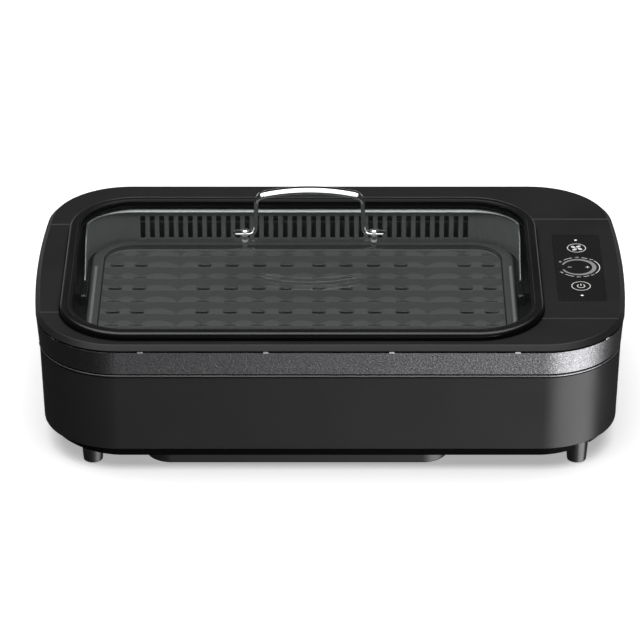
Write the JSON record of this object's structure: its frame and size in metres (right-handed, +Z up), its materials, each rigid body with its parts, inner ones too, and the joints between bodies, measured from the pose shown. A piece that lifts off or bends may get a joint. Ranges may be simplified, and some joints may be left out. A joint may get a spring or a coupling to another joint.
{
  "type": "smokeless indoor grill",
  "caption": "Countertop electric smokeless grill: a glass lid with a wire handle over a slotted, drained non-stick plate in a black casing with touch controls and a fan.",
  "frame": {"origin": "on the table, under the middle of the casing", "axes": "+X to the right (the control side), +Y to the back, +Z up"},
  "size_m": [0.54, 0.3282, 0.1843],
  "materials": {
    "black_plastic": "satin moulded black",
    "dark_plastic": "fine-grained moulded black",
    "rim_plastic": "smooth heat-proof black",
    "trim_metal": "dark textured metal",
    "nonstick": "grey non-stick coating on die-cast aluminium",
    "steel": "plain sheet steel",
    "chrome": "polished chrome",
    "glass": "clear tempered glass",
    "gloss_overlay": "gloss black film over the touch keys",
    "lamp": "white light pipe",
    "rubber": "matt black rubber",
    "silicone": "dark silicone",
    "circuit_board": "green solder resist",
    "ceramic": "unglazed steatite",
    "brass": "plain brass"
  },
  "bodies": {
    "base": {"base_housing": "black_plastic", "bottom_cover": "dark_plastic", "well_floor": "dark_plastic", "foot_front_left": "rubber", "foot_front_right": "rubber", "foot_rear_left": "rubber", "foot_rear_right": "rubber", "foot_screw_front_left": "steel", "foot_screw_front_right": "steel", "foot_screw_rear_left": "steel", "foot_screw_rear_right": "steel", "front_surround": "black_plastic", "rear_surround": "black_plastic", "left_side_panel": "black_plastic", "control_side_panel": "black_plastic", "trim_band": "trim_metal", "control_overlay": "gloss_overlay", "fan_light": "lamp", "power_light": "lamp", "control_board": "circuit_board", "cavity_liner": "steel", "smoke_guard": "nonstick", "element_socket": "ceramic", "smoke_duct": "steel", "fan_scroll": "dark_plastic", "fan_motor": "steel", "power_board": "circuit_board", "power_inlet": "dark_plastic", "inlet_pin_1": "brass", "inlet_pin_2": "brass", "inlet_pin_3": "brass"},
    "fan": {"fan_impeller": "dark_plastic"},
    "lid": {"lid_rim": "rim_plastic", "lid_glass": "glass", "lid_handle": "chrome", "handle_screw_left": "chrome", "handle_nut_left": "chrome", "upper_washer_left": "silicone", "lower_washer_left": "silicone", "handle_screw_right": "chrome", "handle_nut_right": "chrome", "upper_washer_right": "silicone", "lower_washer_right": "silicone"},
    "plate": {"grill_plate": "nonstick", "heating_element": "steel", "element_clamp_1": "steel", "element_clamp_2": "steel", "element_clamp_3": "steel", "element_clamp_4": "steel", "terminal_block": "ceramic", "terminal_pin_1": "brass", "terminal_pin_2": "brass"},
    "water_tray": {"water_tray": "dark_plastic"},
    "latch_left": {"latch_left": "dark_plastic"},
    "latch_right": {"latch_right": "dark_plastic"}
  },
  "joints": [
    {"name": "lid_lift", "type": "slide", "parent": "base", "child": "lid", "axis": [0, 0, 1], "range_m": [0, 0.3]},
    {"name": "plate_lift", "type": "slide", "parent": "base", "child": "plate", "axis": [0, 0, 1], "range_m": [0, 0.15]},
    {"name": "tray_lift", "type": "slide", "parent": "base", "child": "water_tray", "axis": [0, 0, 1], "range_m": [0, 0.06]},
    {"name": "fan_spin", "type": "hinge", "parent": "base", "child": "fan", "pos_m": [0.222, 0.04, 0.06], "axis": [0, 0, 1], "continuous": true},
    {"name": "latch_right_draw", "type": "slide", "parent": "base", "child": "latch_right", "axis": [1, 0, 0], "range_m": [0, 0.003], "stiffness_N_per_m": 400},
    {"name": "latch_left_draw", "type": "slide", "parent": "base", "child": "latch_left", "axis": [-1, 0, 0], "range_m": [0, 0.003], "stiffness_N_per_m": 400}
  ],
  "couplings": [
    {"joint": "plate_lift", "follows": "lid_lift", "ratio": 0.5},
    {"joint": "tray_lift", "follows": "lid_lift", "ratio": 0.2}
  ]
}
